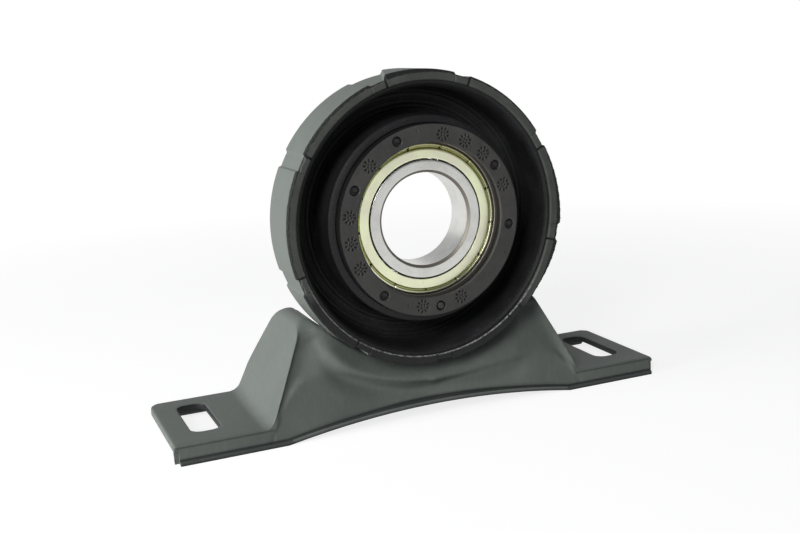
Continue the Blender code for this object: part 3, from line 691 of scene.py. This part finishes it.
rim_mesh = turned_piece("rim_skin", rounded_outline((
    (0.0440, -0.0082, 0.0001, 0.0004), (0.0440, -0.00965, 0.00055, 0.0003),
    (rim_outer, -0.00965, 0.00030, 0.0004), (rim_outer, -0.00905, 0.0001, 0.0009),
    (0.0447, -0.0082, 0.0001, 0.0006))), rim_turns, split_at_pads, 45)
degrees = np.arange(rim_turns) * 360 / rim_turns
open_share = np.zeros(rim_turns)
for gap in pad_gaps:
    off = np.abs((degrees - gap + split_off + 180) % 360 - 180)
    open_share = np.maximum(open_share, 1 - smooth(0.30, 0.60, off))
mark_points(rim_mesh, "split", np.repeat(open_share, len(rim_mesh.vertices) // rim_turns))


def moulded_rubber(name, dark, pale, roughness, specular, grain):
    """Carbon-black rubber as it leaves the mould: dead matt, with bloom and flow marks.

    grain is the depth of the mould's texture in metres. Its pores are drawn at 0.2 mm, coarser
    than they are, so that they show.
    """
    material, tree = new_material(name)
    place = add_node(tree, "TexCoord", output="Object")
    radius, _, depth = around_shaft(tree)
    flow = add_node(tree, "CombineXYZ", {0: radius, 1: depth})
    bloom, speckle, pores, rings = (add_node(tree, "TexNoise", {
        "Vector": vector, "Scale": 1 / size, "Detail": detail, "Roughness": rough})
        for vector, size, detail, rough in (
            (place, 0.0085, 4.0, 0.6), (place, 0.0006, 2.0, 0.6), (place, 0.00022, 2.0, 0.55),
            (flow, 0.0007, 2.0, 0.55)))
    colour = linear(dark)
    for share, tone in (
            (add_node(tree, "MapRange", {0: bloom, 1: 0.38, 2: 0.72}), pale),
            (add_node(tree, "MapRange", {0: speckle, 1: 0.60, 2: 0.78, 4: 0.30}), "77787A")):
        colour = add_node(tree, "Mix", {0: share, 6: colour, 7: linear(tone)}, 2,
                          data_type='RGBA')
    dulled = add_node(tree, "MapRange", {
        0: bloom, 1: 0.3, 2: 0.7, 3: roughness, 4: roughness + 0.12})
    normal = add_node(tree, "Bump", {"Height": rings, "Distance": grain * 2.2})
    normal = add_node(tree, "Bump", {"Height": speckle, "Distance": grain * 1.6,
                                     "Normal": normal})
    normal = add_node(tree, "Bump", {"Height": pores, "Distance": grain, "Normal": normal})
    shader = add_node(tree, "BsdfPrincipled", {
        "Base Color": colour, "Roughness": dulled, "IOR": 1.52,
        "Specular IOR Level": specular, "Normal": normal})
    add_node(tree, "OutputMaterial", {"Surface": shader})
    return material


# Rubber flash over steel: greyer than the mouldings, since it is thin and bloomed. Its outer edge
# and its splits are near black. Along the bottom it is painted near black as shade, with a ragged
# painted highlight on its inner edge.
flash_rubber = moulded_rubber("rubber_flash_over_steel", "484A47", "5C5F5B", 0.55, 0.35, 0.00001)
tree = flash_rubber.node_tree
base_colour = tree.nodes["Principled BSDF"].inputs["Base Color"]
radius, turn, _ = around_shaft(tree)
ragged = add_node(tree, "TexNoise", {
    "Vector": add_node(tree, "TexCoord", output="Object"), "Scale": 1 / 0.0011, "Detail": 3.0,
    "Roughness": 0.65})
# Painted shade: the rim turns near black round its bottom.
from_bottom = add_node(tree, "Math", {0: turn, 1: 1.72})
off_bottom = add_node(tree, "Math", {0: from_bottom}, operation='ABSOLUTE')
painted_bottom_shade = add_node(tree, "MapRange", {0: off_bottom, 1: 0.92, 2: 1.02, 3: 1.0, 4: 0.0})
outer_line = add_node(tree, "Math", {0: ragged, 1: 0.0009, 2: radius}, operation='MULTIPLY_ADD')
at_edge = add_node(tree, "MapRange", {0: outer_line, 1: 0.04675, 2: 0.04695})
edge_line_and_bottom_shade = add_node(tree, "Math", {0: at_edge, 1: painted_bottom_shade}, operation='MAXIMUM')
# Painted highlight: a pale ragged line on the inner edge along the bottom.
painted_edge_highlight = add_node(tree, "MapRange", {0: radius, 1: 0.04410, 2: 0.04418})
for part in (
        add_node(tree, "MapRange", {0: radius, 1: 0.04445, 2: 0.04465, 3: 1.0, 4: 0.0}),
        add_node(tree, "MapRange", {0: ragged, 1: 0.38, 2: 0.62, 3: 0.15, 4: 0.9}),
        add_node(tree, "MapRange", {0: off_bottom, 1: 0.95, 2: 1.3, 3: 1.0, 4: 0.0})):
    painted_edge_highlight = add_node(tree, "Math", {0: painted_edge_highlight, 1: part}, operation='MULTIPLY')
colour = base_colour.links[0].from_socket
for share, tone in (
        (edge_line_and_bottom_shade, "19191A"),
        (add_node(tree, "Attribute", output="Fac", attribute_name="split"), "060606"),
        (painted_edge_highlight, "A9ABA8")):
    colour = add_node(tree, "Mix", {0: share, 6: colour, 7: linear(tone)}, 2, data_type='RGBA')
tree.links.new(colour, base_colour)
place_piece("rim_skin", rim_mesh, flash_rubber, "support", "rubber")


# Rubber bellows: natural rubber bonded to the band and to the collar, and folded once between
# them so that the shaft can move a little. The mould leaves soft rings on both sides of the fold.
def fold(middle, radius, start, end, steps, rings):
    """An arc of the fold in (radius, depth), with soft rings of a millimetre and a half."""
    path = []
    for step in range(steps + 1):
        turn = start + (end - start) * step / steps
        wave = rings * math.sin(turn * radius / 0.0015 * 2 * math.pi)
        full = radius + wave * math.sin(math.pi * step / steps)
        path.append(Vector((middle[0] + full * math.cos(turn), middle[1] + full * math.sin(turn))))
    return path


bellows = fold((0.0376, 0.0025), 0.0066, 0.0, math.pi, 56, 0.00010)
bellows += stepped([bellows[-1], Vector((0.03072, 0.0010)), Vector((0.03072, -0.0070))], 0.0015)[1:]
bellows += [Vector((0.0310, -0.0073)), Vector((0.0326, -0.0071)), Vector((0.0331, -0.0066))]
inside = fold((0.0377, 0.0025), 0.0043, math.pi, 0.0, 48, 0.00012)
bellows += stepped([bellows[-1], inside[0]], 0.0009)[1:] + inside[1:]
bellows += stepped([inside[-1], Vector((0.0420, -0.0060)), Vector((0.0427, -0.0083))], 0.0009)[1:]
bellows += [Vector((0.0433, -0.00885)), Vector((0.0441, -0.00885))]
bellows += stepped([bellows[-1], Vector((0.0442, 0.0018))], 0.002)[1:]
bellows_mesh = turned_piece("rubber_bellows", np.array([tuple(spot) for spot in bellows]), 400)
# Moulded natural rubber: deep black and matt, so that only its rings catch the light.
black_rubber = moulded_rubber("moulded_natural_rubber", "1F1F20", "29292B", 0.55, 0.25, 0.000012)
place_piece("rubber_bellows", bellows_mesh, black_rubber, "support", "rubber", "rubber_mount")


# Bearing collar: a steel sleeve under a skin of harder rubber, moulded in one go with the bellows.
# Its front face keeps the mould's prints: six round ejector marks and a row of small rosettes.
rosettes = (78.8, 61.9, 45.9, 19.4, 135.8, 171.5, 188.8, 206.7, 261.1, 290.1)
pin_circle, rosette_circle = 0.0279, 0.0275


def prints(radius, angle):
    """How deep the mould's prints are at each point of the collar's front face."""
    def away(turn, out):
        """How far each point is from a print's centre, at a turn in degrees: (along, up)."""
        place = math.radians(turn)
        return (radius * np.cos(angle) - out * math.cos(place),
                radius * np.sin(angle) - out * math.sin(place))

    sunk = np.zeros_like(radius)
    for third in range(3):
        for side in (-1, 1):
            along, up = away(13 + 120 * third + side * 21.2, pin_circle)
            off, off_crown = np.hypot(along, up), np.hypot(along - 0.0004, up - 0.0002)
            pin = 0.00080 * (1 - smooth(0.00140, 0.00172, off))
            crown = 0.00045 * (1 - smooth(0.00070, 0.00100, off_crown))
            stud = 0.00075 * (1 - smooth(0.00095, 0.00135, off))
            sunk += pin - (stud if (third, side) == (2, 1) else crown)
    for turn in rosettes:
        along, up = away(turn, rosette_circle)
        off, petal = np.hypot(along, up), np.arctan2(up, along)
        ring = smooth(0.00118, 0.00135, off) * (1 - smooth(0.00205, 0.00232, off))
        sunk += 0.00042 * ring * smooth(-0.1, 0.5, np.cos(petal * 9 + turn))
        core = smooth(0.00034, 0.00050, off) * (1 - smooth(0.00078, 0.00095, off))
        sunk += 0.00036 * core * smooth(-0.7, 0.0, np.cos(petal * 4 + turn))
    for turn, out, size in ((97.1, 0.0289, 0.00040), (333.1, 0.0290, 0.00032),
                            (250.5, 0.0278, 0.00040)):
        sunk += 0.00025 * (1 - smooth(size * 0.5, size, np.hypot(*away(turn, out))))
    return sunk


def moulded_face(radius, depth, angle):
    """Sink the ejector marks and the rosettes into the collar's front face."""
    return radius, depth + prints(radius, angle) * (depth < -0.0106)


collar_mesh = turned_piece("moulded_collar", rounded_outline((
    (0.0257, -0.0068, 0.0, 0.0012), (0.0248, -0.0096, 0.0004, 0.0006),
    (0.0246, -0.0109, 0.0005, 0.00016), (0.0307, -0.0109, 0.0002, 0.0025),
    (0.0307, 0.0090, 0.0006, 0.0015), (0.0262, 0.0090, 0.0004, 0.0012),
    (0.0262, 0.0068, 0.0, 0.0012), (0.0278, 0.0068, 0.0, 0.004),
    (0.0278, -0.0068, 0.0, 0.002))), 1080, moulded_face, 45)
# The prints' hollows are painted darker, as dirt and painted shade.
x, y, z = (points_of(collar_mesh) - np.array(centre)).T
sunk = prints(np.hypot(x, z), np.arctan2(z, x)) * (y < -0.0098)
mark_points(collar_mesh, "grime_and_shade", 0.85 * smooth(0.00008, 0.00040, sunk))

# Rubber skin on a steel sleeve: a harder mix, so the face is a little paler and glossier than the
# bellows. Dirt and painted shade darken its prints, and its sides are painted near black as shade.
collar_rubber = moulded_rubber("rubber_skin_on_steel_sleeve", "403F3E", "504F4D", 0.56, 0.40,
                               0.000022)
tree = collar_rubber.node_tree
base_colour = tree.nodes["Principled BSDF"].inputs["Base Color"]
radius, _, depth = around_shaft(tree)
# Painted shade: the sleeve's sides turn near black.
painted_side_shade = add_node(tree, "Math", {
    0: add_node(tree, "MapRange", {0: depth, 1: -0.0104, 2: -0.0101}),
    1: add_node(tree, "MapRange", {0: radius, 1: 0.0305, 2: 0.0306})}, operation='MAXIMUM')
grime_and_shade = add_node(tree, "Attribute", output="Fac", attribute_name="grime_and_shade")
colour = base_colour.links[0].from_socket
for share, tone in ((painted_side_shade, "050505"), (grime_and_shade, "131313")):
    colour = add_node(tree, "Mix", {0: share, 6: colour, 7: linear(tone)}, 2, data_type='RGBA')
tree.links.new(colour, base_colour)
place_piece("moulded_collar", collar_mesh, collar_rubber, "support", "coated_collar",
            "bearing_collar")


# Bearing races: through-hardened bearing steel. The faces are surface-ground, which leaves fine
# rings and a satin shine, and the bore is finish-ground, with its marks running round it. A deep
# groove in each one holds the balls.
ball_circle, groove_radius, groove_half = 0.02125, 0.003872, 0.9817


def raceway(start, end):
    """The groove's arc between two turns in radians, as (radius, depth) points."""
    return [(ball_circle + groove_radius * math.cos(turn), groove_radius * math.sin(turn))
            for turn in np.linspace(start, end, 25)]


inner_ring = np.concatenate((rounded_outline((
    (0.0191, 0.0065, 0.0003, 0.0006), (0.0158, 0.0065, 0.00015, 0.0004),
    (0.0150, 0.0057, 0.00015, 0.0012), (0.0150, -0.0057, 0.00015, 0.0004),
    (0.0158, -0.0065, 0.00015, 0.0006), (0.0191, -0.0065, 0.0003, 0.0008))),
    raceway(math.pi + groove_half, math.pi - groove_half)))
outer_ring = np.concatenate((rounded_outline((
    (0.0246, -0.0048, 0.0, 0.0004), (0.0246, -0.0065, 0.0003, 0.0003),
    (0.0275, -0.0065, 0.0006, 0.0020), (0.0275, 0.0065, 0.0006, 0.0004),
    (0.0246, 0.0065, 0.0003, 0.0004), (0.0246, 0.0048, 0.0, 0.0004),
    (0.0234, 0.0048, 0.0, 0.0005))),
    raceway(groove_half, -groove_half), [(0.0234, -0.0048)]))
inner_mesh = turned_piece("ground_inner_race", inner_ring, 360, None, 35)
outer_mesh = turned_piece("ground_outer_race", outer_ring, 240, None, 35)


def ground_steel(name, dull, bright, roughness):
    """Ground bearing steel, satin, with the wheel's rings a tenth of a millimetre apart.

    That is some ten times as coarse as they are, so that they show in the render.
    """
    material, tree = new_material(name)
    place = add_node(tree, "TexCoord", output="Object")
    radius, turn, depth = around_shaft(tree)
    along = add_node(tree, "Math", {0: turn, 1: 0.0006}, operation='MULTIPLY')
    lay = add_node(tree, "CombineXYZ", {0: radius, 1: along, 2: depth})
    rings, stain, touched = (add_node(tree, "TexNoise", {
        "Vector": vector, "Scale": 1 / size, "Detail": detail, "Roughness": rough})
        for vector, size, detail, rough in (
            (lay, 0.00010, 2.0, 0.6), (place, 0.006, 3.0, 0.6), (place, 0.0014, 4.0, 0.65)))
    colour = linear(dull)
    for share, tone in (
            (add_node(tree, "MapRange", {0: rings, 1: 0.35, 2: 0.65}), bright),
            (add_node(tree, "MapRange", {0: stain, 1: 0.45, 2: 0.80, 4: 0.35}), "A5A59C")):
        colour = add_node(tree, "Mix", {0: share, 6: colour, 7: linear(tone)}, 2,
                          data_type='RGBA')
    spread = add_node(tree, "MapRange", {
        0: rings, 1: 0.3, 2: 0.7, 3: roughness - 0.05, 4: roughness + 0.05})
    handling = add_node(tree, "MapRange", {0: touched, 1: 0.62, 2: 0.80})
    dulled = add_node(tree, "Math", {0: handling, 1: 0.12, 2: spread}, operation='MULTIPLY_ADD')
    normal = add_node(tree, "Bump", {"Height": rings, "Distance": 0.000004})
    normal = add_node(tree, "Bump", {"Height": stain, "Distance": 0.00001, "Normal": normal})
    shader = add_node(tree, "BsdfPrincipled", {
        "Base Color": colour, "Metallic": 1.0, "Roughness": dulled, "Normal": normal})
    add_node(tree, "OutputMaterial", {"Surface": shader})
    return material


# Ground bearing steel: bright and satin on the inner ring's face and bore. Its bore chamfer and
# the outer ring, which preserving oil has stained, are browner and duller.
race_steel = ground_steel("ground_bearing_steel", "D6D6D2", "E3E3DF", 0.30)
tree = race_steel.node_tree
inputs = tree.nodes["Principled BSDF"].inputs
radius, _, depth = around_shaft(tree)
towards_face = add_node(tree, "Math", {0: depth}, operation='ABSOLUTE')
bore_edge = add_node(tree, "Math", {
    0: add_node(tree, "MapRange", {0: radius, 1: 0.01580, 2: 0.01592, 3: 1.0, 4: 0.0}),
    1: add_node(tree, "MapRange", {0: towards_face, 1: 0.0055, 2: 0.0057})},
    operation='MULTIPLY')
on_outer = add_node(tree, "MapRange", {0: radius, 1: 0.0240, 2: 0.0244})
stained = add_node(tree, "Math", {0: bore_edge, 1: on_outer}, operation='MAXIMUM')
browned = add_node(tree, "Mix", {
    0: stained, 6: inputs["Base Color"].links[0].from_socket, 7: linear("8B867E")}, 2,
    data_type='RGBA')
rougher = add_node(tree, "Math", {
    0: stained, 1: 0.25, 2: inputs["Roughness"].links[0].from_socket},
    operation='MULTIPLY_ADD')
tree.links.new(browned, inputs["Base Color"])
tree.links.new(rougher, inputs["Roughness"])
place_piece("ground_inner_race", inner_mesh, race_steel, "shaft_ring", "race_steel", "inner_race")
place_piece("ground_outer_race", outer_mesh, race_steel, "support", "race_steel", "outer_race")


# Shields: a ring of half-millimetre mild steel each, pressed with a groove and a curled rim,
# plated, and crimped into the outer race at thirteen points.
crimps, first_crimp, shield_turns = 13, 18.9, 720


def from_crimp(degrees):
    """How many degrees each turn is from the nearest crimp."""
    return np.abs((degrees - first_crimp + 180 / crimps) % (360 / crimps) - 180 / crimps)


def crimped(side):
    """The dents where the rim was crimped, on a front (-1) or rear (1) shield."""
    def dent(radius, depth, angle):
        off = from_crimp(np.degrees(angle))
        sunk = 0.00034 * (1 - smooth(0.35, 0.95, off)) * smooth(0.02275, 0.0231, radius)
        outer_face = side * depth > 0.0053
        return radius, depth - side * sunk * outer_face
    return dent


# Zinc plate with yellow passivation: a pale straw metal, olive where the coat is thicker in the
# groove, with a painted olive shadow at the top under the collar's lip, a few dull spots and darker
# marks at the crimps. The turning rings are drawn at 0.16 mm, coarser than they are, so that they
# show.
straw_zinc, tree = new_material("yellow_passivated_zinc")
place = add_node(tree, "TexCoord", output="Object")
radius, turn, _ = around_shaft(tree)
along = add_node(tree, "Math", {0: turn, 1: 0.0015}, operation='MULTIPLY')
lay = add_node(tree, "CombineXYZ", {0: radius, 1: along})
rings, patches, dots = (add_node(tree, "TexNoise", {
    "Vector": vector, "Scale": 1 / size, "Detail": detail, "Roughness": rough})
    for vector, size, detail, rough in (
        (lay, 0.00016, 2.0, 0.6), (place, 0.0075, 3.0, 0.55), (place, 0.0011, 4.0, 0.6)))
thicker = add_node(tree, "Math", {
    0: add_node(tree, "MapRange", {0: radius, 1: 0.0226, 2: 0.0228}),
    1: add_node(tree, "MapRange", {0: radius, 1: 0.0233, 2: 0.0235, 3: 1.0, 4: 0.0})},
    operation='MULTIPLY')
# Painted shadow: the top of the shield, under the collar's lip, turns olive.
from_top = add_node(tree, "Math", {0: turn, 1: -1.25})
off_top = add_node(tree, "Math", {0: from_top}, operation='ABSOLUTE')
painted_top_shadow = add_node(tree, "Math", {
    0: add_node(tree, "MapRange", {0: radius, 1: 0.0219, 2: 0.0222}),
    1: add_node(tree, "MapRange", {0: off_top, 1: 0.45, 2: 1.15, 3: 0.8, 4: 0.0})},
    operation='MULTIPLY')
colour = linear("EEF5CC")
for share, tone in (
        (add_node(tree, "MapRange", {0: patches, 1: 0.35, 2: 0.70}), "F4F3D8"),
        (thicker, "A0A35C"), (painted_top_shadow, "8E8D4E"),
        (add_node(tree, "MapRange", {0: rings, 1: 0.3, 2: 0.75, 4: 0.25}), "F1EFD6"),
        (add_node(tree, "MapRange", {0: dots, 1: 0.68, 2: 0.80, 4: 0.6}), "8F8C55"),
        (add_node(tree, "Attribute", output="Fac", attribute_name="notch"), "4A4428")):
    colour = add_node(tree, "Mix", {0: share, 6: colour, 7: linear(tone)}, 2, data_type='RGBA')
sheen = add_node(tree, "MapRange", {0: patches, 1: 0.3, 2: 0.7, 3: 0.26, 4: 0.38})
normal = add_node(tree, "Bump", {"Height": rings, "Distance": 0.000005})
normal = add_node(tree, "Bump", {"Height": patches, "Distance": 0.00003, "Normal": normal})
shader = add_node(tree, "BsdfPrincipled", {
    "Base Color": colour, "Metallic": 1.0, "Roughness": sheen, "Normal": normal})
add_node(tree, "OutputMaterial", {"Surface": shader})
off = from_crimp(np.arange(shield_turns) * 360 / shield_turns)
for name, node, side in (("front_shield_pressing", "front_shield", -1),
                         ("rear_shield_pressing", "rear_shield", 1)):
    outline = rounded_outline((
        (0.0195, side * 0.0062, 0.0001, 0.0004), (0.0226, side * 0.0062, 0.00025, 0.0002),
        (0.0229, side * 0.0057, 0.0001, 0.00015), (0.02335, side * 0.0057, 0.0001, 0.0002),
        (0.0235, side * 0.0063, 0.0002, 0.0002), (0.0243, side * 0.0063, 0.0003, 0.0004),
        (0.0243, side * 0.0051, 0.0, 0.0008), (0.0221, side * 0.0051, 0.0002, 0.0006),
        (0.0195, side * 0.0057, 0.0001, 0.0003)))
    shield_mesh = turned_piece(name, outline, shield_turns, crimped(side), 35)
    across = (smooth(0.0227, 0.0229, outline[:, 0])
              * (1 - smooth(0.0234, 0.0236, outline[:, 0])))
    mark_points(shield_mesh, "notch", (1 - smooth(0.45, 0.95, off))[:, None] * across[None, :])
    place_piece(name, shield_mesh, straw_zinc, "support", "shield_zinc", node)


# Balls, cage and rivets, which the shields hide: chrome-steel balls, a two-part ribbon cage
# pressed from cold-rolled strip, and the rivets between its pockets.

# Lapped ball steel mirrors its surroundings, with hardly a mark on it.
ball_steel = ground_steel("lapped_ball_steel", "DADADB", "E6E6E7", 0.10)
# Cold-rolled strip is a duller grey, with lines along the roll, drawn 0.3 mm apart so that they
# show, and a cloudy film of oil.
strip, tree = new_material("cold_rolled_strip")
place = add_node(tree, "TexCoord", output="Object")
rolled_along = add_node(tree, "Mapping", {"Vector": place, "Scale": (0.15, 1.0, 1.0)})
streaks, oil = (add_node(tree, "TexNoise", {
    "Vector": vector, "Scale": 1 / size, "Detail": 3.0, "Roughness": rough})
    for vector, size, rough in ((rolled_along, 0.0003, 0.6), (place, 0.003, 0.5)))
shader = add_node(tree, "BsdfPrincipled", {
    "Base Color": add_node(tree, "Mix", {0: oil, 6: linear("9C9A94"), 7: linear("B7B6B1")}, 2,
                           data_type='RGBA'),
    "Metallic": 1.0,
    "Roughness": add_node(tree, "MapRange", {0: oil, 1: 0.3, 2: 0.7, 3: 0.28, 4: 0.45}),
    "Normal": add_node(tree, "Bump", {"Height": streaks, "Distance": 0.000006})})
add_node(tree, "OutputMaterial", {"Surface": shader})
for name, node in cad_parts.items():
    if name.startswith("ball_"):
        node.material_slots[0].material = ball_steel
    if name.startswith("cage_"):
        node.material_slots[0].material = strip
